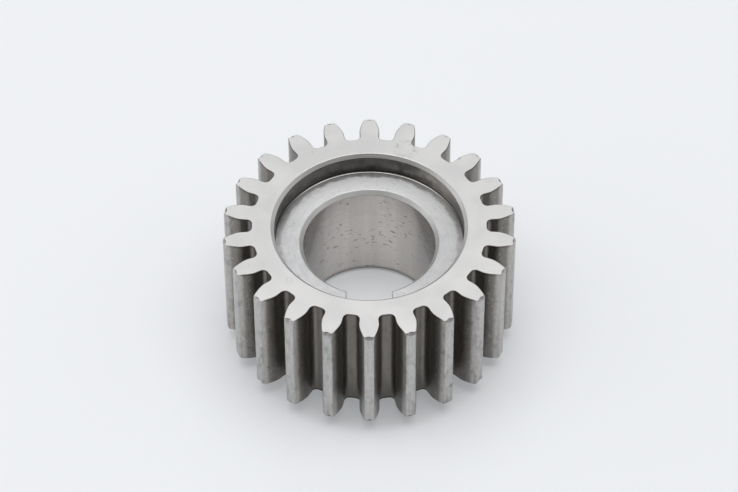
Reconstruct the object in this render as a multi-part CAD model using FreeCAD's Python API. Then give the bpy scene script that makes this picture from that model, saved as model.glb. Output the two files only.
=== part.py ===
import FreeCAD, Part
import math
import os

# Planet gear: a straight spur gear, turned and cut from one steel blank. Millimetres, +Z along the bore.
# The origin is on the bore's axis, in the plane of the hub face that the gear stands on.
# One tooth and the slot both lie towards -Y.

# Toothing
MODULE = 4.0
TOOTH_COUNT = 22
PRESSURE_ANGLE = 20.0
ADDENDUM_FACTOR = 1.17
DEDENDUM_FACTOR = 1.25
TOOTH_THINNING = 0.05
ROOT_FILLET = 1.3
TIP_BEVEL = 0.4
EDGE_BREAK = 0.2
TIP_CHAMFER_RADIAL = 0.9
TIP_CHAMFER_AXIAL = 0.6

# Turned body
FACE_WIDTH = 43.0
HUB_HEIGHT = 5.0
HUB_STEP = 5.0
HUB_CHAMFER = 1.0
RIM_THICKNESS = 7.5

# Bore and recess
BORE_RADIUS = 22.0
BORE_CHAMFER_RADIAL = 1.1
BORE_CHAMFER_AXIAL = 1.7
RECESS_DEPTH = 8.0
RECESS_CHAMFER = 1.1
RECESS_FOOT_FILLET = 0.5

# Slot through the shoulder, open to the bore
SLOT_WIDTH = 15.0
SLOT_DEPTH = 6.0
SLOT_CORNER_RADIUS = 1.0
SLOT_EDGE_BREAK = 0.5

# A cutter runs past the face that it opens by this much
OVERRUN = 2.0
# Points that carry the curve of one flank
FLANK_POINTS = 7

pitch_radius = MODULE * TOOTH_COUNT / 2
tip_radius = pitch_radius + ADDENDUM_FACTOR * MODULE
root_radius = pitch_radius - DEDENDUM_FACTOR * MODULE
base_radius = pitch_radius * math.cos(math.radians(PRESSURE_ANGLE))
hub_radius = root_radius - HUB_STEP
recess_radius = root_radius - RIM_THICKNESS
top_z = HUB_HEIGHT + FACE_WIDTH
shoulder_z = top_z - RECESS_DEPTH
slot_floor = BORE_RADIUS + SLOT_DEPTH
pitch_angle = 2 * math.pi / TOOTH_COUNT
Z_AXIS = FreeCAD.Vector(0, 0, 1)
ORIGIN = FreeCAD.Vector(0, 0, 0)


def polar(radius, angle, z):
    """A point at a radius, with its angle counted from -Y towards +X."""
    return FreeCAD.Vector(radius * math.sin(angle), -radius * math.cos(angle), z)


def line(start, end):
    return Part.LineSegment(start, end).toShape()


def corner_arc(start, end, centre):
    """The short arc from start to end round a centre."""
    outward = (start + end) * 0.5 - centre
    middle = centre + outward * ((start - centre).Length / outward.Length)
    return Part.Arc(start, middle, end).toShape()


def tangent_length(radius):
    """How far a point at this radius lies from the base circle, along the involute's normal."""
    return math.sqrt(max(0.0, radius ** 2 - base_radius ** 2))


def half_angle(radius, inset):
    """Half of a tooth's angle at a radius. An involute that is moved in stays the same one, turned."""
    thickness = math.pi * MODULE / 2 - TOOTH_THINNING
    pressure = math.radians(PRESSURE_ANGLE)
    roll = tangent_length(radius) / base_radius
    rise = math.tan(pressure) - pressure - (roll - math.atan(roll))
    return thickness / 2 / pitch_radius + rise - inset / base_radius


def tooth_side(side, centre_angle, inset, z):
    """One side of a tooth from the root circle to the tip circle: its edges and their two ends."""
    # The root fillet touches the involute, or the radial line under it where it ends below the base circle
    fillet = ROOT_FILLET + inset
    fillet_centre_r = root_radius + ROOT_FILLET
    flank_start = tangent_length(fillet_centre_r) - fillet
    if flank_start > 0:
        fillet_half = half_angle(fillet_centre_r, -ROOT_FILLET)
        leave_r = math.hypot(base_radius, flank_start)
        leave_half = half_angle(leave_r, inset)
    else:
        flank_start = 0.0
        leave_half = half_angle(base_radius, inset)
        fillet_half = leave_half + math.asin(fillet / fillet_centre_r)
        leave_r = math.sqrt(fillet_centre_r ** 2 - fillet ** 2)
    fillet_centre = polar(fillet_centre_r, centre_angle + side * fillet_half, z)
    on_root = polar(root_radius - inset, centre_angle + side * fillet_half, z)
    leave = polar(leave_r, centre_angle + side * leave_half, z)
    edges = [corner_arc(on_root, leave, fillet_centre)]

    # The bevel joins the points where a round corner of its size would leave the flank and the tip circle
    corner_r = tip_radius - TIP_BEVEL
    corner_half = half_angle(corner_r, TIP_BEVEL)
    flank_end = tangent_length(corner_r) + TIP_BEVEL - inset

    flank_points = []
    for step in range(FLANK_POINTS):
        along = flank_start + (flank_end - flank_start) * step / (FLANK_POINTS - 1)
        radius = math.hypot(base_radius, along)
        flank_points.append(polar(radius, centre_angle + side * half_angle(radius, inset), z))
    if flank_start == 0.0:
        edges.append(line(leave, flank_points[0]))
    flank = Part.BSplineCurve()
    flank.interpolate(flank_points)
    edges.append(flank.toShape())

    on_tip = polar(tip_radius - inset, centre_angle + side * corner_half, z)
    edges.append(line(flank_points[-1], on_tip))
    return edges, (on_root, fillet_half), on_tip


def tooth_outline(inset, z):
    """The closed outline of the toothing at a height, moved into the metal by an inset."""
    axis_point = FreeCAD.Vector(0, 0, z)
    edges = []
    for index in range(TOOTH_COUNT):
        centre_angle = index * pitch_angle
        rising, _, tip_start = tooth_side(-1, centre_angle, inset, z)
        falling, (root_start, root_half), tip_end = tooth_side(1, centre_angle, inset, z)
        root_end = polar(root_radius - inset, centre_angle + pitch_angle - root_half, z)
        edges += rising
        edges.append(corner_arc(tip_start, tip_end, axis_point))
        edges += reversed(falling)
        edges.append(corner_arc(root_start, root_end, axis_point))
    return Part.Wire(edges)


def revolved(points_and_arcs):
    """A solid of revolution from (r, z) corners. A corner given with a third value ends an arc of that centre."""
    edges = []
    corners = [FreeCAD.Vector(item[0], 0, item[1]) for item in points_and_arcs]
    for index, start in enumerate(corners):
        following = (index + 1) % len(corners)
        end = corners[following]
        if len(points_and_arcs[following]) == 3:
            centre_r, centre_z = points_and_arcs[following][2]
            edges.append(corner_arc(start, end, FreeCAD.Vector(centre_r, 0, centre_z)))
        else:
            edges.append(line(start, end))
    return Part.Face(Part.Wire(edges)).revolve(ORIGIN, Z_AXIS, 360)


def walls_between(sections):
    """The side walls that join outlines at rising heights, straight from each edge to the one above it."""
    loft = Part.makeLoft(sections, True, True)
    return [face for face in loft.Faces if face.BoundBox.ZLength > EDGE_BREAK / 2]


def toothed_ring():
    """The teeth at full face width: edges broken at both ends, tips chamfered on the outside diameter."""
    low_end = tooth_outline(EDGE_BREAK, HUB_HEIGHT)
    low_full = tooth_outline(0.0, HUB_HEIGHT + EDGE_BREAK)
    high_full = tooth_outline(0.0, top_z - EDGE_BREAK)
    high_end = tooth_outline(EDGE_BREAK, top_z)
    straight = low_full.extrude(Z_AXIS * (FACE_WIDTH - 2 * EDGE_BREAK))
    walls = walls_between([low_end, low_full]) + straight.Faces + walls_between([high_full, high_end])
    skin = Part.makeShell([Part.Face(low_end)] + walls + [Part.Face(high_end)])
    skin.sewShape()
    chamfered_blank = revolved([
        (0, HUB_HEIGHT),
        (tip_radius - TIP_CHAMFER_RADIAL, HUB_HEIGHT),
        (tip_radius, HUB_HEIGHT + TIP_CHAMFER_AXIAL),
        (tip_radius, top_z - TIP_CHAMFER_AXIAL),
        (tip_radius - TIP_CHAMFER_RADIAL, top_z),
        (0, top_z),
    ])
    return Part.makeSolid(skin).common(chamfered_blank)


def hub():
    """The short hub on the lower side. It reaches up into the toothed ring, which it is fused with."""
    into_ring = HUB_HEIGHT + OVERRUN
    return revolved([
        (0, 0),
        (hub_radius - HUB_CHAMFER, 0),
        (hub_radius, HUB_CHAMFER),
        (hub_radius, into_ring),
        (0, into_ring),
    ])


def bore_and_recess():
    """What turning takes out: the chamfered bore, and the wider recess above the shoulder."""
    mouth_r = BORE_RADIUS + BORE_CHAMFER_RADIAL
    fillet_r = recess_radius - RECESS_FOOT_FILLET
    fillet_z = shoulder_z + RECESS_FOOT_FILLET
    return revolved([
        (0, -OVERRUN),
        (mouth_r, -OVERRUN),
        (mouth_r, 0),
        (BORE_RADIUS, BORE_CHAMFER_AXIAL),
        (BORE_RADIUS, shoulder_z - BORE_CHAMFER_AXIAL),
        (mouth_r, shoulder_z),
        (fillet_r, shoulder_z),
        (recess_radius, fillet_z, (fillet_r, fillet_z)),
        (recess_radius, top_z - RECESS_CHAMFER),
        (recess_radius + RECESS_CHAMFER, top_z),
        (recess_radius + RECESS_CHAMFER, top_z + OVERRUN),
        (0, top_z + OVERRUN),
    ])


def slot_section(widening, z):
    """The slot's outline at a height, from the axis out to its floor, grown on three sides by a widening."""
    half = SLOT_WIDTH / 2 + widening
    floor = -slot_floor - widening
    radius = SLOT_CORNER_RADIUS + widening
    inner_left = FreeCAD.Vector(-half, 0, z)
    wall_left = FreeCAD.Vector(-half, floor + radius, z)
    floor_left = FreeCAD.Vector(-half + radius, floor, z)
    floor_right = FreeCAD.Vector(half - radius, floor, z)
    wall_right = FreeCAD.Vector(half, floor + radius, z)
    inner_right = FreeCAD.Vector(half, 0, z)
    return Part.Wire([
        line(inner_left, wall_left),
        corner_arc(wall_left, floor_left, FreeCAD.Vector(-half + radius, floor + radius, z)),
        line(floor_left, floor_right),
        corner_arc(floor_right, wall_right, FreeCAD.Vector(half - radius, floor + radius, z)),
        line(wall_right, inner_right),
        line(inner_right, inner_left),
    ])


def slot():
    """What the slot's cutter takes out, with its edges broken on the shoulder and on the hub's face."""
    length = Z_AXIS * (shoulder_z + 2 * OVERRUN)
    straight = Part.Face(slot_section(0.0, -OVERRUN)).extrude(length)
    on_shoulder = Part.makeLoft(
        [slot_section(0.0, shoulder_z - SLOT_EDGE_BREAK), slot_section(SLOT_EDGE_BREAK, shoulder_z)], True, True)
    on_hub = Part.makeLoft([slot_section(SLOT_EDGE_BREAK, 0.0), slot_section(0.0, SLOT_EDGE_BREAK)], True, True)
    return [straight, on_shoulder, on_hub]


def planet_gear():
    blank = toothed_ring().fuse(hub())
    return blank.cut([bore_and_recess()] + slot())


gear = planet_gear()
print("solids", len(gear.Solids), "valid", gear.isValid(), "volume", round(gear.Volume), "faces", len(gear.Faces))
os.makedirs("parts", exist_ok=True)
gear.exportStep("parts/planet_gear.step")
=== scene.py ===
import math

import bmesh
import bpy
import numpy as np
from mathutils import Matrix, Vector


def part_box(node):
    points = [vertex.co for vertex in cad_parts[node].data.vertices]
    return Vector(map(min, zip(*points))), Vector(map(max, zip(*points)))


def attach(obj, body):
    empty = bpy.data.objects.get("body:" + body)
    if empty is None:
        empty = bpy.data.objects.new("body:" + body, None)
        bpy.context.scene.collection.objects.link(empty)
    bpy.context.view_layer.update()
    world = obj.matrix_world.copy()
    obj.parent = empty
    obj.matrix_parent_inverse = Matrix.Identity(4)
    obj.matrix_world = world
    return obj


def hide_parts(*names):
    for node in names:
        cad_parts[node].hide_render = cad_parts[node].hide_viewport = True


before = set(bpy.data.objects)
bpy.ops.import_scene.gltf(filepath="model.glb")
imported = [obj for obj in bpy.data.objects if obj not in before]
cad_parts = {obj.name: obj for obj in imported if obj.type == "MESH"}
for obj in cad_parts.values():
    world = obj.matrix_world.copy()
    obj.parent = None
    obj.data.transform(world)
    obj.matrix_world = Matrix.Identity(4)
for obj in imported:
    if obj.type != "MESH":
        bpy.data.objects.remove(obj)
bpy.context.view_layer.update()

# A steel planet gear on a pale floor, with its slot and one tooth towards the camera

# Sizes are in millimetres up to the point where a mesh is made
MM = 0.001
node_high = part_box("planet_gear")[1]
TOP_Z = node_high.z / MM
TIP_RADIUS = node_high.y / MM

# Toothing, after the photograph: its teeth are thicker at the tips than the model's standard ones
MODULE = 4.0
TOOTH_COUNT = 22
PRESSURE_ANGLE = math.radians(14.5)
ROOT_RADIUS = 39.0
TOOTH_THICKENING = 0.1
ROOT_FILLET = 1.7
TIP_ROUNDING = 0.8
FACE_ROUNDING = 0.2
TIP_CHAMFER_RADIAL = 0.9
TIP_CHAMFER_AXIAL = 1.3
# Share of the tip chamfer's size that is lost beside the flanks
CHAMFER_FADE = 0.3
PITCH = 2 * math.pi / TOOTH_COUNT
PITCH_RADIUS = MODULE * TOOTH_COUNT / 2
BASE_RADIUS = PITCH_RADIUS * math.cos(PRESSURE_ANGLE)

# Turned body
HUB_HEIGHT = 5.0
HUB_RADIUS = 34.0
HUB_CHAMFER = 1.0
BORE_RADIUS = 22.0
BORE_CHAMFER_RADIAL = 1.3
BORE_CHAMFER_AXIAL = 1.35
RECESS_RADIUS = 31.5
RECESS_DEPTH = 8.0
RECESS_CHAMFER = 1.1
RECESS_FILLET = 0.5
SHOULDER_Z = TOP_Z - RECESS_DEPTH
BROKEN_EDGE = 0.12
# Flat face that is kept beside a broken edge, so that the edge can be rounded
FACE_MARGIN = 1.0

# Slot
SLOT_HALF = 7.5
SLOT_FLOOR = 28.0
SLOT_CORNER = 1.0
SLOT_EDGE_BREAK = 0.3
SLOT_MOUTH_BREAK = 0.25

# Points along each stretch of half a tooth's outline
ROOT_STEPS = 4
FILLET_STEPS = 5
FLANK_STEPS = 8
CORNER_STEPS = 4
TIP_STEPS = 2
HALF_COUNT = ROOT_STEPS + FILLET_STEPS + FLANK_STEPS + CORNER_STEPS + TIP_STEPS + 2
TOOTH_POINTS = 2 * (HALF_COUNT - 1)
LAND_FROM = ROOT_STEPS + FILLET_STEPS + FLANK_STEPS + 1

# Rows of points up a tooth: round the end face's edge, down the tip chamfer, and between the two ends
ROUNDING_STEPS = 4
CHAMFER_DEPTHS = (0.32, 0.5, 0.7, 0.9, 1.1, TIP_CHAMFER_AXIAL, 1.8)
WALL_ROWS = 42

# Points round the turned surfaces, some of which draw the slot
RING_PER_TOOTH = 2 * ROOT_STEPS + 2
RING_COUNT = RING_PER_TOOTH * TOOTH_COUNT
SLOT_WALL_STEPS = 3
SLOT_CORNER_STEPS = 5
SLOT_FLOOR_STEPS = 6
SLOT_COUNT = 2 * SLOT_WALL_STEPS + 2 * SLOT_CORNER_STEPS + SLOT_FLOOR_STEPS + 1
ARC_COUNT = RING_COUNT - SLOT_COUNT
# Places by which a slotted loop is turned, so that it starts in the same gap as the other loops
SLOT_TURN = (SLOT_COUNT + RING_PER_TOOTH) // 2 + 1
RECESS_FILLET_STEPS = 8

# Edges that turn by more than this stay crisp
SHARP_ANGLE = math.radians(25)

# Marks of use: a ring, a smear and a nick on the top face, and bruises on the teeth with their sizes
RING_PLACE = (12.2, 34.4, TOP_Z)
RING_RADIUS = 3.3
SMEAR_PLACE = (-26.3, -24.0, TOP_Z)
NICK_PLACE = (30.0, 30.4, TOP_Z)
BRUISES = (
    ((-33.6, -32.1, 13.5), 0.9),
    ((-40.3, -21.1, 10.7), 0.8),
    ((26.9, -40.3, 14.0), 1.2),
)

# Camera, fitted to the photograph: distances from the middle of the top face
IMAGE_WIDTH = 738
SENSOR_WIDTH = 36.0
FOCAL_PIXELS = 3482.8
CAMERA_ELEVATION = 48.717
CAMERA_ROLL = -0.294
CAMERA_TURN = 0.3
CAMERA_DISTANCE = 1152.0
CAMERA_RIGHT = 0.12
CAMERA_UP = 6.78

# Floor and room, in metres
FLOOR_SIZE = 6.0
FLOOR_COLOUR = (0.80, 0.815, 0.835, 1)
BACKGROUND_COLOUR = (0.845, 0.865, 0.895, 1)
FLOOR_GLOW = 0.25
ROOM_COLOUR = (0.95, 0.98, 1.0, 1)
ROOM_STRENGTH = 0.02

# Softboxes all round the gear: azimuth from the camera's side, elevation, width, height and radiance
SOFTBOX_DISTANCE = 1.6
SOFTBOXES = {
    "top": (0, 90, 0.5, 0.5, 3.68),
    "high_front": (0, 70, 0.85, 0.7, 1.29),
    "high_right": (90, 70, 0.85, 0.7, 3.32),
    "high_back": (180, 70, 0.85, 0.7, 1.68),
    "high_left": (270, 70, 0.85, 0.7, 3.26),
    "middle_front_right": (45, 43, 1.0, 0.85, 0.37),
    "middle_right": (90, 43, 1.0, 0.85, 0.76),
    "middle_back": (180, 43, 1.0, 0.85, 1.16),
    "middle_left": (270, 43, 1.0, 0.85, 1.04),
    "middle_front_left": (315, 43, 1.0, 0.85, 0.25),
    "low_front": (0, 14, 1.25, 0.75, 0.40),
    "low_front_right": (45, 14, 1.25, 0.75, 0.38),
    "low_right": (90, 14, 1.25, 0.75, 0.55),
    "low_back_right": (135, 14, 1.25, 0.75, 0.57),
    "low_back_left": (225, 14, 1.25, 0.75, 0.60),
    "low_left": (270, 14, 1.25, 0.75, 1.18),
    "low_front_left": (315, 14, 1.25, 0.75, 0.67),
}

# Surface finishes, in the order of the mesh's material slots
GROUND, WALL, TURNED, SHOULDER, HONED, FLANK, TIP = range(7)


# Outlines

def half_angle(radius, inset):
    """Half of a tooth's angle at a radius, for an involute moved into the metal by an inset."""
    roll = np.sqrt(np.maximum(radius ** 2 - BASE_RADIUS ** 2, 0.0)) / BASE_RADIUS
    at_pitch = (math.pi * MODULE / 2 + TOOTH_THICKENING) / 2 / PITCH_RADIUS
    rise = math.tan(PRESSURE_ANGLE) - PRESSURE_ANGLE - (roll - np.arctan(roll))
    return at_pitch + rise - inset / BASE_RADIUS


def arc_about(centre_r, centre_angle, radius, start, end, steps):
    """Points of an arc, as (radius, angle) about the gear's axis, without its first point."""
    cx, cy = centre_r * math.sin(centre_angle), centre_r * math.cos(centre_angle)
    turns = []
    for r, angle in (start, end):
        turns.append(math.atan2(r * math.cos(angle) - cy, r * math.sin(angle) - cx))
    sweep = (turns[1] - turns[0] + math.pi) % (2 * math.pi) - math.pi
    turn = turns[0] + sweep * np.arange(1, steps + 1) / steps
    x, y = cx + radius * np.cos(turn), cy + radius * np.sin(turn)
    return np.stack([np.hypot(x, y), np.arctan2(x, y)], 1)


def half_tooth(inset, depth):
    """Half a tooth from the middle of the gap to the middle of the tip, as (radius, angle off its centre)."""
    fillet = ROOT_FILLET + inset
    fillet_r = ROOT_RADIUS + ROOT_FILLET
    base_half = half_angle(BASE_RADIUS, inset)
    fillet_half = base_half + math.asin(fillet / fillet_r)
    on_root = (ROOT_RADIUS - inset, fillet_half)
    leave = (math.sqrt(fillet_r ** 2 - fillet ** 2), base_half)
    root_angles = np.linspace(PITCH / 2, fillet_half, ROOT_STEPS + 1)
    root = np.stack([np.full(ROOT_STEPS + 1, on_root[0]), root_angles], 1)
    foot = arc_about(fillet_r, fillet_half, fillet, on_root, leave, FILLET_STEPS)

    corner_r = TIP_RADIUS - TIP_ROUNDING
    corner_half = half_angle(corner_r, TIP_ROUNDING)
    flank_end = math.sqrt(corner_r ** 2 - BASE_RADIUS ** 2) + TIP_ROUNDING - inset
    flank_r = np.hypot(BASE_RADIUS, np.linspace(0.0, flank_end, FLANK_STEPS + 1))
    flank = np.stack([flank_r, half_angle(flank_r, inset)], 1)
    top = (TIP_RADIUS - inset, corner_half)
    corner = arc_about(corner_r, corner_half, TIP_ROUNDING - inset, tuple(flank[-1]), top, CORNER_STEPS)
    land_angles = np.linspace(corner_half, 0.0, TIP_STEPS + 1)[1:]
    land = np.stack([np.full(TIP_STEPS, top[0]), land_angles], 1)
    outline = np.concatenate([root, foot, flank, corner, land])

    # The chamfer on the outside diameter is smaller beside the flanks
    size = 1 - CHAMFER_FADE * np.minimum(outline[:, 1] / corner_half, 1) ** 2
    cap = TIP_RADIUS - TIP_CHAMFER_RADIAL * np.maximum(0, size - depth / TIP_CHAMFER_AXIAL)
    outline[:, 0] = np.minimum(outline[:, 0], cap)
    return outline


def on_circle(radius, angle, z):
    """Points at radii and angles, counted from -Y towards +X."""
    height = np.broadcast_to(z, np.shape(angle))
    return np.stack([radius * np.sin(angle), -radius * np.cos(angle), height], 1)


def toothed_loop(inset, depth, z):
    """The whole toothed outline at a height and at a depth from the nearer end face."""
    half = half_tooth(inset, depth)
    loops = []
    for tooth in range(TOOTH_COUNT):
        centre = tooth * PITCH
        loops.append(on_circle(half[:-1, 0], centre - half[:-1, 1], z))
        back = half[:0:-1]
        loops.append(on_circle(back[:, 0], centre + back[:, 1], z))
    return np.concatenate(loops)


def turned_loop(radius, z):
    """A full circle at a height. Its points start at the gap before the first tooth."""
    return on_circle(radius, -PITCH / 2 + 2 * math.pi * np.arange(RING_COUNT) / RING_COUNT, z)


def slotted_loop(radius, widening, z):
    """A circle at a height, broken by the slot's outline, with as many points as every turned surface has."""
    half = SLOT_HALF + widening
    floor_y = SLOT_FLOOR + widening
    corner = SLOT_CORNER + widening
    mouth = math.asin((half + SLOT_MOUTH_BREAK) / radius)
    arc = on_circle(radius, np.linspace(mouth, 2 * math.pi - mouth, ARC_COUNT), z)
    mouth_y = radius * math.cos(mouth) + SLOT_MOUTH_BREAK
    wall_y = np.linspace(mouth_y, floor_y - corner, SLOT_WALL_STEPS + 1)
    wall = np.stack([np.full(len(wall_y), -half), -wall_y], 1)
    turn = np.linspace(0, math.pi / 2, SLOT_CORNER_STEPS + 1)[1:]
    bend = np.stack([-half + corner - corner * np.cos(turn), -floor_y + corner - corner * np.sin(turn)], 1)
    floor_x = np.linspace(-half + corner, half - corner, SLOT_FLOOR_STEPS + 1)[1:-1]
    base = np.stack([floor_x, np.full(len(floor_x), -floor_y)], 1)
    left = np.concatenate([wall, bend])
    right = left[::-1] * [-1, 1]
    slot = np.concatenate([left, base, right])
    slot = np.concatenate([slot, np.full((len(slot), 1), z)], 1)
    return np.roll(np.concatenate([arc, slot]), SLOT_TURN, axis=0)


# Mesh

class Skin:
    """Collects loops of points and the faces between them."""

    def __init__(self):
        self.points = []
        self.faces = []
        self.finishes = []

    def add(self, loop):
        start = len(self.points)
        self.points.extend(loop.tolist())
        return list(range(start, start + len(loop)))

    def face(self, corners, finish):
        self.faces.append(corners)
        self.finishes.append(finish)

    def strip(self, low, high, finish):
        """Faces between two closed loops. The finish is a number, or a function of the place in the loop."""
        count = len(low)
        for i in range(count):
            j = (i + 1) % count
            self.face([low[i], low[j], high[j], high[i]], finish(i) if callable(finish) else finish)


def wall_finish(place):
    """Tips have the turned outside diameter, the rest of a tooth was hobbed."""
    within = place % TOOTH_POINTS
    return TIP if LAND_FROM <= within < TOOTH_POINTS - LAND_FROM else FLANK


def slot_finish(finish):
    """The slot's walls are milled, whatever the bore has at that height."""
    return lambda place: finish if (place - SLOT_TURN) % RING_COUNT < ARC_COUNT - 1 else TURNED


def end_rows():
    """Depths from an end face, each with the inset of the outline there."""
    rows = []
    for step in range(ROUNDING_STEPS + 1):
        turn = step / ROUNDING_STEPS * math.pi / 2
        rows.append((FACE_ROUNDING * (1 - math.cos(turn)), FACE_ROUNDING * (1 - math.sin(turn))))
    for depth in CHAMFER_DEPTHS:
        rows.append((depth, 0.0))
    return rows


def end_face(skin, outline, ring):
    """The flat end between the toothed outline and a circle: a ladder of faces on each tooth, then a ring."""
    outer = []
    for tooth in range(TOOTH_COUNT):
        first = tooth * TOOTH_POINTS
        for rung in range(ROOT_STEPS, HALF_COUNT - 1):
            a, b = first + rung, first + rung + 1
            c, d = first + TOOTH_POINTS - rung - 1, first + TOOTH_POINTS - rung
            corners = [outline[a], outline[b], outline[c], outline[d % len(outline)]]
            if rung == HALF_COUNT - 2:
                corners = [outline[a], outline[b], outline[d % len(outline)]]
            if rung == ROOT_STEPS:
                foot = (np.array(skin.points[corners[0]]) + np.array(skin.points[corners[3]])) / 2
                middle = skin.add(foot[None, :])[0]
                corners.append(middle)
            skin.face(corners, GROUND)
        outer += [outline[first + i] for i in range(ROOT_STEPS + 1)] + [middle]
        outer += [outline[(first + TOOTH_POINTS - i) % len(outline)] for i in range(ROOT_STEPS, 0, -1)]
    skin.strip(ring, outer, GROUND)


def rounded(corners, radius, steps=3):
    """A profile with its inner corners rounded. Corners are (r, z, finish of what follows)."""
    result = [corners[0]]
    for before, corner, after in zip(corners, corners[1:], corners[2:]):
        here = np.array(corner[:2])
        a = np.array(before[:2]) - here
        b = np.array(after[:2]) - here
        reach = min(radius, np.linalg.norm(a) / 3, np.linalg.norm(b) / 3)
        a = a / np.linalg.norm(a) * reach
        b = b / np.linalg.norm(b) * reach
        for step in range(steps + 1):
            t = step / steps
            point = here + a * (1 - t) ** 2 + b * t ** 2
            result.append((point[0], point[1], before[2] if t < 0.5 else corner[2]))
    result.append(corners[-1])
    return result


def insert_height(rows, z):
    """Adds a row at a height, between the two rows of a falling profile that it lies between."""
    result = [rows[0]]
    for before, after in zip(rows, rows[1:]):
        if after[1] < z < before[1]:
            share = (before[1] - z) / (before[1] - after[1])
            result.append((before[0] + (after[0] - before[0]) * share, z, before[2]))
        result.append(after)
    return result


def turned(skin, profile):
    """Faces along a turned profile of (radius, z, finish of what follows). Gives its first and last ring."""
    rows = [(skin.add(turned_loop(radius, z)), finish) for radius, z, finish in profile]
    for (low, finish), (high, _) in zip(rows, rows[1:]):
        skin.strip(low, high, finish)
    return rows[0][0], rows[-1][0]


def toothed_walls(skin):
    """Tips, flanks and gaps, from the lower end face up. Gives the lowest and the highest outline."""
    lows = [(HUB_HEIGHT + depth, inset, depth) for depth, inset in end_rows()]
    highs = [(TOP_Z - depth, inset, depth) for depth, inset in reversed(end_rows())]
    inner = np.linspace(lows[-1][0], highs[0][0], WALL_ROWS)[1:-1]
    middle = [(z, 0.0, TIP_CHAMFER_AXIAL) for z in inner]
    loops = [skin.add(toothed_loop(inset, depth, z)) for z, inset, depth in lows + middle + highs]
    for low, high in zip(loops, loops[1:]):
        skin.strip(low, high, wall_finish)
    return loops[0], loops[-1]


def recess(skin):
    """From the chamfered mouth in the top face down to the fillet on the shoulder."""
    mouth = RECESS_RADIUS + RECESS_CHAMFER
    wall = [(RECESS_RADIUS, TOP_Z - RECESS_CHAMFER, WALL)]
    for step in range(RECESS_FILLET_STEPS + 1):
        turn = step / RECESS_FILLET_STEPS * math.pi / 2
        radius = RECESS_RADIUS - RECESS_FILLET * (1 - math.cos(turn))
        wall.append((radius, SHOULDER_Z + RECESS_FILLET * (1 - math.sin(turn)), WALL))
    edge = [(mouth + FACE_MARGIN, TOP_Z, GROUND), (mouth, TOP_Z, TURNED)]
    upper = rounded(edge + wall[:2], BROKEN_EDGE)
    return turned(skin, upper[:-1] + wall[1:])


def bore_and_slot(skin):
    """From the shoulder down to the hub's face. Gives the first and the last loop."""
    face_r = BORE_RADIUS + BORE_CHAMFER_RADIAL
    profile = rounded([
        (face_r + FACE_MARGIN, SHOULDER_Z, SHOULDER),
        (face_r, SHOULDER_Z, TURNED),
        (BORE_RADIUS, SHOULDER_Z - BORE_CHAMFER_AXIAL, HONED),
        (BORE_RADIUS, BORE_CHAMFER_AXIAL, TURNED),
        (face_r, 0.0, GROUND),
        (face_r + FACE_MARGIN, 0.0, GROUND),
    ], BROKEN_EDGE)
    profile = insert_height(profile, SHOULDER_Z - SLOT_EDGE_BREAK)
    profile = insert_height(profile, SLOT_EDGE_BREAK)
    rows = []
    for radius, z, finish in profile:
        widening = max(0.0, SLOT_EDGE_BREAK - min(z, SHOULDER_Z - z))
        rows.append((skin.add(slotted_loop(radius, widening, z)), finish))
    for (high, finish), (low, _) in zip(rows, rows[1:]):
        skin.strip(high, low, slot_finish(finish))
    return rows[0][0], rows[-1][0]


def hub(skin):
    """From the face that the gear stands on up to the lower end of the teeth."""
    profile = rounded([
        (HUB_RADIUS - HUB_CHAMFER - FACE_MARGIN, 0.0, GROUND),
        (HUB_RADIUS - HUB_CHAMFER, 0.0, TURNED),
        (HUB_RADIUS, HUB_CHAMFER, TURNED),
        (HUB_RADIUS, HUB_HEIGHT, GROUND),
        (HUB_RADIUS + FACE_MARGIN, HUB_HEIGHT, GROUND),
    ], BROKEN_EDGE)
    return turned(skin, profile)


def gear_skin():
    """The gear's closed surface: teeth, recess, bore and hub, joined by the flat faces between them."""
    skin = Skin()
    low_outline, high_outline = toothed_walls(skin)
    mouth_ring, recess_ring = recess(skin)
    shoulder_loop, bore_loop = bore_and_slot(skin)
    face_ring, foot_ring = hub(skin)
    end_face(skin, high_outline, mouth_ring)
    skin.strip(recess_ring, shoulder_loop, SHOULDER)
    skin.strip(bore_loop, face_ring, GROUND)
    end_face(skin, low_outline, foot_ring)
    return skin


def gear_mesh():
    skin = gear_skin()
    mesh = bpy.data.meshes.new("gear_body")
    mesh.from_pydata((np.array(skin.points) * MM).tolist(), [], skin.faces)
    mesh.polygons.foreach_set("material_index", np.array(skin.finishes, dtype=np.int32))
    work = bmesh.new()
    work.from_mesh(mesh)
    bmesh.ops.recalc_face_normals(work, faces=work.faces)
    work.to_mesh(mesh)
    work.free()
    mesh.polygons.foreach_set("use_smooth", np.ones(len(mesh.polygons), dtype=bool))
    mesh.set_sharp_from_angle(angle=SHARP_ANGLE)
    return mesh


# Finishes

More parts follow.
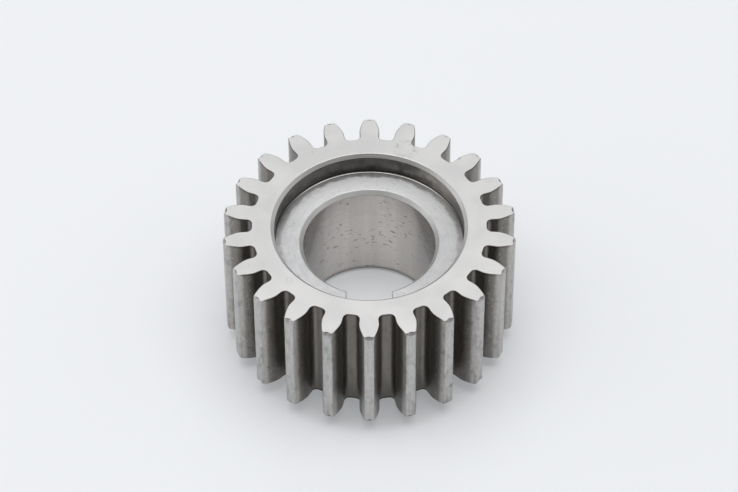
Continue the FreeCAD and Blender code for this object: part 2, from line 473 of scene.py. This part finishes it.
class Steel:
    """A bare steel finish. The places on the part that it works from are in millimetres."""

    def __init__(self, name):
        self.material = bpy.data.materials.new(name)
        self.material.use_nodes = True
        self.tree = self.material.node_tree
        coordinates = self.tree.nodes.new("ShaderNodeTexCoord")
        split = self.tree.nodes.new("ShaderNodeSeparateXYZ")
        self.tree.links.new(coordinates.outputs["Object"], split.inputs[0])
        self.x, self.y, self.z = (self.math("DIVIDE", axis, MM) for axis in split.outputs)
        squares = self.math("ADD", self.both(self.x, self.x), self.both(self.y, self.y))
        self.radius = self.math("SQRT", squares)
        # The direction from the axis, which has no seam as an angle would
        self.east = self.math("DIVIDE", self.x, self.radius)
        self.north = self.math("DIVIDE", self.y, self.radius)

    def node(self, kind, inputs, output=0, **settings):
        """A shader node. An input is a number, a colour, or the output that it is fed from."""
        made = self.tree.nodes.new(kind)
        for name, value in settings.items():
            setattr(made, name, value)
        for place, value in inputs.items():
            if isinstance(value, bpy.types.NodeSocket):
                self.tree.links.new(value, made.inputs[place])
            else:
                made.inputs[place].default_value = value
        return made.outputs[output]

    def math(self, operation, *values):
        return self.node("ShaderNodeMath", dict(enumerate(values)), operation=operation)

    def both(self, first, second):
        """The product of two values: of two masks, the places that both of them cover."""
        return self.math("MULTIPLY", first, second)

    def ramp(self, value, low, high, to_low=0.0, to_high=1.0):
        inputs = {0: value, 1: low, 2: high, 3: to_low, 4: to_high}
        return self.node("ShaderNodeMapRange", inputs, interpolation_type="SMOOTHSTEP")

    def varied(self, pattern, low, high):
        """A value that a noise moves between two limits."""
        return self.ramp(pattern, 0.3, 0.7, low, high)

    def blend(self, share, first, second):
        return self.node("ShaderNodeMix", {0: share, 6: first, 7: second}, output=2, data_type="RGBA")

    def clouded(self, pattern, dark, light):
        """Two shades, shared out softly by a noise."""
        return self.blend(self.ramp(pattern, 0.35, 0.65), dark, light)

    def stain(self, colour, mask, strength, shade):
        """The colour with a shade laid over it at a strength, where the mask is."""
        return self.blend(self.both(mask, strength), colour, shade)

    def noise(self, x, y, z, detail):
        place = self.node("ShaderNodeCombineXYZ", {0: x, 1: y, 2: z})
        inputs = {"Vector": place, "Scale": 1.0, "Detail": detail, "Roughness": 0.55}
        return self.node("ShaderNodeTexNoise", inputs)

    def grain(self, across, upright, detail=3.0):
        """Noise with marks of about these sizes, level and upright."""
        sizes = ((self.x, across), (self.y, across), (self.z, upright))
        x, y, z = (self.math("DIVIDE", *pair) for pair in sizes)
        return self.noise(x, y, z, detail)

    def turning(self, spacing, length, at_radius, detail=3.0):
        """Noise whose marks run round the axis, as a tool leaves them, and have this length at a radius."""
        turns = at_radius / length
        step = self.math("DIVIDE", self.math("ADD", self.radius, self.z), spacing)
        return self.noise(step, self.both(self.east, turns), self.both(self.north, turns), detail)

    def distance(self, x, y, z):
        """Distance from a place on the part."""
        place = self.node("ShaderNodeCombineXYZ", {0: self.x, 1: self.y, 2: self.z})
        return self.node("ShaderNodeVectorMath", {0: place, 1: (x, y, z)}, output=1, operation="DISTANCE")

    def finish(self, colour, roughness, height, depth, metallic=1.0):
        """Feeds the shader. The depth of the bump is in millimetres."""
        shader = self.tree.nodes["Principled BSDF"]
        shader.inputs["Metallic"].default_value = metallic
        self.tree.links.new(colour, shader.inputs["Base Color"])
        self.tree.links.new(roughness, shader.inputs["Roughness"])
        normal = self.node("ShaderNodeBump", {"Strength": 1.0, "Distance": depth * MM, "Height": height})
        self.tree.links.new(normal, shader.inputs["Normal"])
        return self.material


def ground_face():
    """Ground end faces: even and pale, with faint clouds and specks, a smudged ring, a smear and a nick."""
    steel = Steel("ground_face")
    clouds = steel.grain(14.0, 14.0)
    fine = steel.grain(0.8, 0.8)
    spots = steel.grain(1.3, 1.3)
    colour = steel.clouded(clouds, (0.540, 0.537, 0.535, 1), (0.592, 0.588, 0.584, 1))
    specks = steel.both(steel.ramp(spots, 0.64, 0.72), steel.ramp(clouds, 0.55, 0.40))
    colour = steel.stain(colour, specks, 0.35, (0.28, 0.27, 0.25, 1))
    from_ring = steel.math("ABSOLUTE", steel.math("SUBTRACT", steel.distance(*RING_PLACE), RING_RADIUS))
    ring = steel.both(steel.ramp(from_ring, 1.5, 0.3), steel.ramp(spots, 0.44, 0.60))
    colour = steel.stain(colour, ring, 0.45, (0.30, 0.30, 0.30, 1))
    smear = steel.both(steel.ramp(steel.distance(*SMEAR_PLACE), 2.4, 0.5), steel.ramp(fine, 0.40, 0.60))
    colour = steel.stain(colour, smear, 0.30, (0.34, 0.34, 0.34, 1))
    nick = steel.ramp(steel.distance(*NICK_PLACE), 1.0, 0.4)
    colour = steel.stain(colour, nick, 0.6, (0.12, 0.11, 0.10, 1))
    return steel.finish(colour, steel.varied(fine, 0.32, 0.40), fine, 0.003)


def recess_wall():
    """The recess's wall: very dark, partly oily steel and partly painted shade of the recess, with patchy
    painted shade at its foot, brown painted light towards +X and a painted highlight on its fillet.
    """
    steel = Steel("recess_wall")
    # Very dark: partly oily steel, partly painted shade of the recess
    shaded_oily_steel = (0.08, 0.075, 0.07, 1)
    rings = steel.turning(0.3, 14.0, RECESS_RADIUS)
    clouds = steel.grain(4.0, 4.0)
    colour = steel.clouded(clouds, shaded_oily_steel, (0.115, 0.109, 0.102, 1))
    # Painted light towards +X, in a brown tint
    painted_light_right = steel.ramp(steel.math("ADD", steel.east, steel.varied(clouds, -0.15, 0.15)), 0.25, 0.95)
    colour = steel.blend(painted_light_right, colour, (0.33, 0.31, 0.285, 1))
    colour = steel.blend(steel.ramp(rings, 0.4, 0.7, 0.0, 0.25), colour, shaded_oily_steel)
    # Patchy painted shade at the wall's foot, in the corner with the shoulder
    low = steel.ramp(steel.z, SHOULDER_Z + 1.3, SHOULDER_Z + 0.6)
    painted_foot_shade = steel.both(low, steel.ramp(clouds, 0.3, 0.6, 0.4, 0.9))
    colour = steel.blend(painted_foot_shade, colour, (0.04, 0.037, 0.034, 1))
    # Painted highlight along the fillet at the wall's foot
    fillet = steel.ramp(steel.z, SHOULDER_Z + 0.35, SHOULDER_Z + 0.15)
    colour = steel.blend(fillet, colour, (0.30, 0.295, 0.29, 1))
    return steel.finish(colour, steel.varied(rings, 0.16, 0.22), rings, 0.002)


def chamfer():
    """Chamfers and the slot's walls, with fine rings. The recess's mouth has painted shade on its far side.
    """
    steel = Steel("chamfer")
    dark = (0.55, 0.545, 0.54, 1)
    rings = steel.turning(0.3, 14.0, RECESS_RADIUS)
    colour = steel.clouded(steel.grain(7.0, 7.0), dark, (0.61, 0.605, 0.60, 1))
    colour = steel.blend(steel.ramp(rings, 0.4, 0.7, 0.0, 0.25), colour, dark)
    # Painted shade on the far side of the recess's mouth
    far_side_shade = steel.both(steel.ramp(steel.radius, 29.0, 31.0), steel.ramp(steel.north, 0.4, 0.95))
    colour = steel.stain(colour, far_side_shade, 0.65, (0.26, 0.25, 0.24, 1))
    return steel.finish(colour, steel.varied(rings, 0.32, 0.40), rings, 0.002, 0.5)


def shoulder_face():
    """The recess's shoulder: cool and satin, with turning marks and flecks, painted light towards +Y, painted
    shade towards +X and a ring of painted shade by the wall.
    """
    steel = Steel("shoulder_face")
    grey = (0.34, 0.34, 0.34, 1)
    rings = steel.turning(0.45, 5.0, 27.0)
    clouds = steel.grain(5.0, 5.0)
    colour = steel.clouded(clouds, (0.545, 0.548, 0.556, 1), (0.605, 0.608, 0.615, 1))
    # Painted light towards +Y and painted shade towards +X
    colour = steel.blend(steel.ramp(steel.north, 0.1, 0.9, 0.0, 0.85), colour, (0.71, 0.713, 0.72, 1))
    colour = steel.blend(steel.ramp(steel.east, 0.3, 0.9, 0.0, 0.25), colour, grey)
    colour = steel.blend(steel.ramp(rings, 0.45, 0.70, 0.0, 0.15), colour, grey)
    # A ring of painted shade by the wall, where the steel is also less rough
    shaded_margin = steel.ramp(steel.math("ADD", steel.radius, steel.varied(clouds, -0.5, 0.5)), 28.9, 29.9)
    colour = steel.stain(colour, shaded_margin, 0.65, (0.30, 0.29, 0.285, 1))
    flecks = steel.ramp(steel.turning(0.7, 1.8, 27.0), 0.62, 0.70)
    colour = steel.stain(colour, flecks, 0.40, (0.26, 0.255, 0.25, 1))
    fine = steel.grain(0.45, 0.45, 2.0)
    colour = steel.blend(steel.ramp(fine, 0.50, 0.75, 0.0, 0.22), colour, (0.30, 0.30, 0.30, 1))
    colour = steel.blend(steel.ramp(fine, 0.42, 0.28, 0.0, 0.30), colour, (0.72, 0.72, 0.725, 1))
    smudged = steel.both(steel.ramp(steel.radius, 27.5, 30.0), steel.ramp(steel.grain(2.2, 2.2), 0.50, 0.62))
    colour = steel.stain(colour, smudged, 0.30, (0.20, 0.19, 0.18, 1))
    roughness = steel.math("SUBTRACT", steel.varied(rings, 0.50, 0.58), steel.both(shaded_margin, 0.2))
    return steel.finish(colour, roughness, rings, 0.002, 0.65)


def honed_bore():
    """The bore: bright and slightly warm, with upright bands, short brown stains along its circle, and
    painted shade at its lower end and on its left and right sides.
    """
    steel = Steel("honed_bore")
    bands = steel.grain(5.0, 90.0, 2.0)
    streaks = steel.turning(0.5, 6.0, BORE_RADIUS)
    colour = steel.clouded(bands, (0.575, 0.543, 0.515, 1), (0.645, 0.612, 0.585, 1))
    colour = steel.blend(steel.ramp(streaks, 0.4, 0.7, 0.0, 0.08), colour, (0.42, 0.39, 0.36, 1))
    patches = steel.ramp(steel.grain(9.0, 9.0, 1.0), 0.42, 0.55)
    stains = steel.both(patches, steel.ramp(steel.turning(1.0, 2.2, BORE_RADIUS, 1.0), 0.62, 0.69))
    colour = steel.stain(colour, stains, 0.65, (0.20, 0.175, 0.15, 1))
    # Painted shade towards the bore's lower end
    painted_bottom_shade = steel.ramp(steel.z, 3.4, BORE_CHAMFER_AXIAL)
    colour = steel.stain(colour, painted_bottom_shade, 0.7, (0.10, 0.09, 0.08, 1))
    # Painted shade on its left and right sides
    side = steel.ramp(steel.math("ABSOLUTE", steel.east), 0.55, 0.95)
    colour = steel.stain(colour, side, 0.75, (0.27, 0.262, 0.258, 1))
    return steel.finish(colour, steel.varied(streaks, 0.20, 0.28), streaks, 0.0015)


def tooth_finish(name, dark, light):
    """Teeth: darker towards the roots and lighter towards the tips, partly dirt and wear and partly painted
    shade and light, softly mottled all over, with painted shade under the top edge, low in the gaps and along
    the lower edge.
    """
    steel = Steel(name)
    mottle = steel.grain(0.8, 2.6)
    streaks = steel.grain(0.8, 12.0)
    worn_and_lit = steel.math("ADD", steel.radius, steel.varied(streaks, -0.2, 0.2))
    # Darker at the roots and lighter towards the tips: partly dirt and wear, partly painted shade in the gaps
    # and painted light at the tips
    colour = steel.blend(steel.ramp(steel.radius, 39.2, 40.4), (0.21, 0.195, 0.178, 1), dark)
    colour = steel.blend(steel.ramp(worn_and_lit, 45.9, 47.4), colour, light)

    marks = steel.ramp(mottle, 0.40, 0.70, 0.0, 0.18)
    marks = steel.math("ADD", marks, steel.ramp(streaks, 0.45, 0.70, 0.0, 0.10))
    marks = steel.math("ADD", marks, steel.ramp(steel.grain(2.4, 5.0), 0.52, 0.66, 0.0, 0.22))
    colour = steel.blend(marks, colour, (0.08, 0.074, 0.068, 1))
    specks = steel.ramp(steel.grain(0.7, 1.3, 2.0), 0.38, 0.30, 0.0, 0.45)
    specks = steel.both(specks, steel.ramp(steel.radius, 42.0, 44.5, 0.1, 1.0))
    colour = steel.blend(specks, colour, (0.62, 0.61, 0.60, 1))

    # Painted shade under the top face's edge, low in the gaps and along the lower edge
    painted_rim_shade = steel.both(steel.ramp(steel.z, TOP_Z - 1.2, TOP_Z - 0.3), steel.ramp(steel.radius, 47.6, 46.6))
    colour = steel.stain(colour, painted_rim_shade, 0.5, (0.08, 0.065, 0.055, 1))
    # Painted shade low in the gaps, towards the floor
    foot = steel.both(steel.ramp(steel.z, 18.0, 6.0), steel.ramp(steel.radius, 46.5, 44.0))
    colour = steel.stain(colour, foot, 0.35, (0.09, 0.083, 0.075, 1))
    # Painted shade along the lower edge of the gaps, by the hub
    low_edge = steel.ramp(steel.z, HUB_HEIGHT + 1.1, HUB_HEIGHT + 0.4)
    lower_edge_shade = steel.both(low_edge, steel.ramp(steel.radius, 42.0, 40.5))
    colour = steel.stain(colour, lower_edge_shade, 0.85, (0.03, 0.028, 0.025, 1))

    ragged = steel.varied(mottle, -0.4, 0.4)
    for place, size in BRUISES:
        away = steel.math("ADD", steel.distance(*place), ragged)
        colour = steel.stain(colour, steel.ramp(away, size, size * 0.4), 0.5, (0.09, 0.07, 0.05, 1))
    return steel.finish(colour, steel.varied(streaks, 0.36, 0.42), streaks, 0.001)


FINISHES = (
    ground_face(),
    recess_wall(),
    chamfer(),
    shoulder_face(),
    honed_bore(),
    tooth_finish("hobbed_flank", (0.255, 0.24, 0.222, 1), (0.51, 0.495, 0.475, 1)),
    tooth_finish("tooth_tip", (0.52, 0.51, 0.50, 1), (0.53, 0.52, 0.51, 1)),
)


# Scene

def in_scene(name, data):
    """A new object, linked to the scene."""
    made = bpy.data.objects.new(name, data)
    bpy.context.scene.collection.objects.link(made)
    return made


gear = in_scene("gear_body", gear_mesh())
for finish in FINISHES:
    gear.data.materials.append(finish)
weighting = gear.modifiers.new("face_normals", "WEIGHTED_NORMAL")
weighting.keep_sharp = True
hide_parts("planet_gear")
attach(gear, "root")


def floor_paper():
    """Diffuse paper, with a share of an even glow for the rays that see it directly or in the metal."""
    paper = bpy.data.materials.new("floor_paper")
    paper.use_nodes = True
    tree = paper.node_tree
    tree.nodes.clear()
    lit = tree.nodes.new("ShaderNodeBsdfDiffuse")
    lit.inputs["Color"].default_value = FLOOR_COLOUR
    glow = tree.nodes.new("ShaderNodeEmission")
    glow.inputs["Color"].default_value = BACKGROUND_COLOUR
    glow.inputs["Strength"].default_value = 1.0
    path = tree.nodes.new("ShaderNodeLightPath")
    seen = path.outputs["Is Camera Ray"]
    for ray in ("Is Glossy Ray", "Is Transmission Ray"):
        either = tree.nodes.new("ShaderNodeMath")
        either.operation = "MAXIMUM"
        tree.links.new(seen, either.inputs[0])
        tree.links.new(path.outputs[ray], either.inputs[1])
        seen = either.outputs[0]
    share = tree.nodes.new("ShaderNodeMath")
    share.operation = "MULTIPLY"
    share.inputs[1].default_value = FLOOR_GLOW
    tree.links.new(seen, share.inputs[0])
    mix = tree.nodes.new("ShaderNodeMixShader")
    tree.links.new(share.outputs[0], mix.inputs[0])
    tree.links.new(lit.outputs[0], mix.inputs[1])
    tree.links.new(glow.outputs[0], mix.inputs[2])
    output = tree.nodes.new("ShaderNodeOutputMaterial")
    tree.links.new(mix.outputs[0], output.inputs["Surface"])
    return paper


def floor():
    """Pale paper, much larger than what the camera sees of it."""
    mesh = bpy.data.meshes.new("floor")
    half = FLOOR_SIZE / 2
    corners = [(-half, -half, 0), (half, -half, 0), (half, half, 0), (-half, half, 0)]
    mesh.from_pydata(corners, [], [(0, 1, 2, 3)])
    mesh.materials.append(floor_paper())
    made = in_scene("floor", mesh)


def studio():
    """Three rings of softboxes and one overhead, open at the front where the camera is."""
    for name, (azimuth, elevation, width, height, radiance) in SOFTBOXES.items():
        data = bpy.data.lights.new(name, "AREA")
        data.shape = "RECTANGLE"
        data.size = width
        data.size_y = height
        data.energy = radiance * math.pi * width * height
        lamp = in_scene(name, data)
        turn, rise = math.radians(azimuth), math.radians(elevation)
        away = Vector((math.sin(turn) * math.cos(rise), -math.cos(turn) * math.cos(rise), math.sin(rise)))
        lamp.location = away * SOFTBOX_DISTANCE
        lamp.rotation_mode = "QUATERNION"
        lamp.rotation_quaternion = (-away).to_track_quat("-Z", "Y")
    world = bpy.data.worlds.new("room")
    bpy.context.scene.world = world
    world.use_nodes = True
    background = world.node_tree.nodes["Background"]
    background.inputs["Color"].default_value = ROOM_COLOUR
    background.inputs["Strength"].default_value = ROOM_STRENGTH


def camera():
    """The photograph's viewing angle, set from the middle of the gear's top face."""
    rise, roll, turn = math.radians(CAMERA_ELEVATION), math.radians(CAMERA_ROLL), math.radians(CAMERA_TURN)
    level = Vector((1, 0, 0))
    upright = Vector((0, math.sin(rise), math.cos(rise)))
    ahead = Vector((0, math.cos(rise), -math.sin(rise)))
    right = math.cos(roll) * level + math.sin(roll) * upright
    up = math.cos(roll) * upright - math.sin(roll) * level
    place = Vector((0, 0, TOP_Z)) - CAMERA_DISTANCE * ahead - CAMERA_RIGHT * level - CAMERA_UP * upright
    place *= MM
    matrix = Matrix((
        (right.x, up.x, -ahead.x, place.x),
        (right.y, up.y, -ahead.y, place.y),
        (right.z, up.z, -ahead.z, place.z),
        (0, 0, 0, 1),
    ))
    data = bpy.data.cameras.new("camera")
    data.sensor_width = SENSOR_WIDTH
    data.lens = FOCAL_PIXELS * SENSOR_WIDTH / IMAGE_WIDTH
    made = in_scene("camera", data)
    made.matrix_world = Matrix.Rotation(turn, 4, "Z") @ matrix
    bpy.context.scene.camera = made


floor()
studio()
camera()
bpy.context.scene.view_settings.view_transform = "Standard"
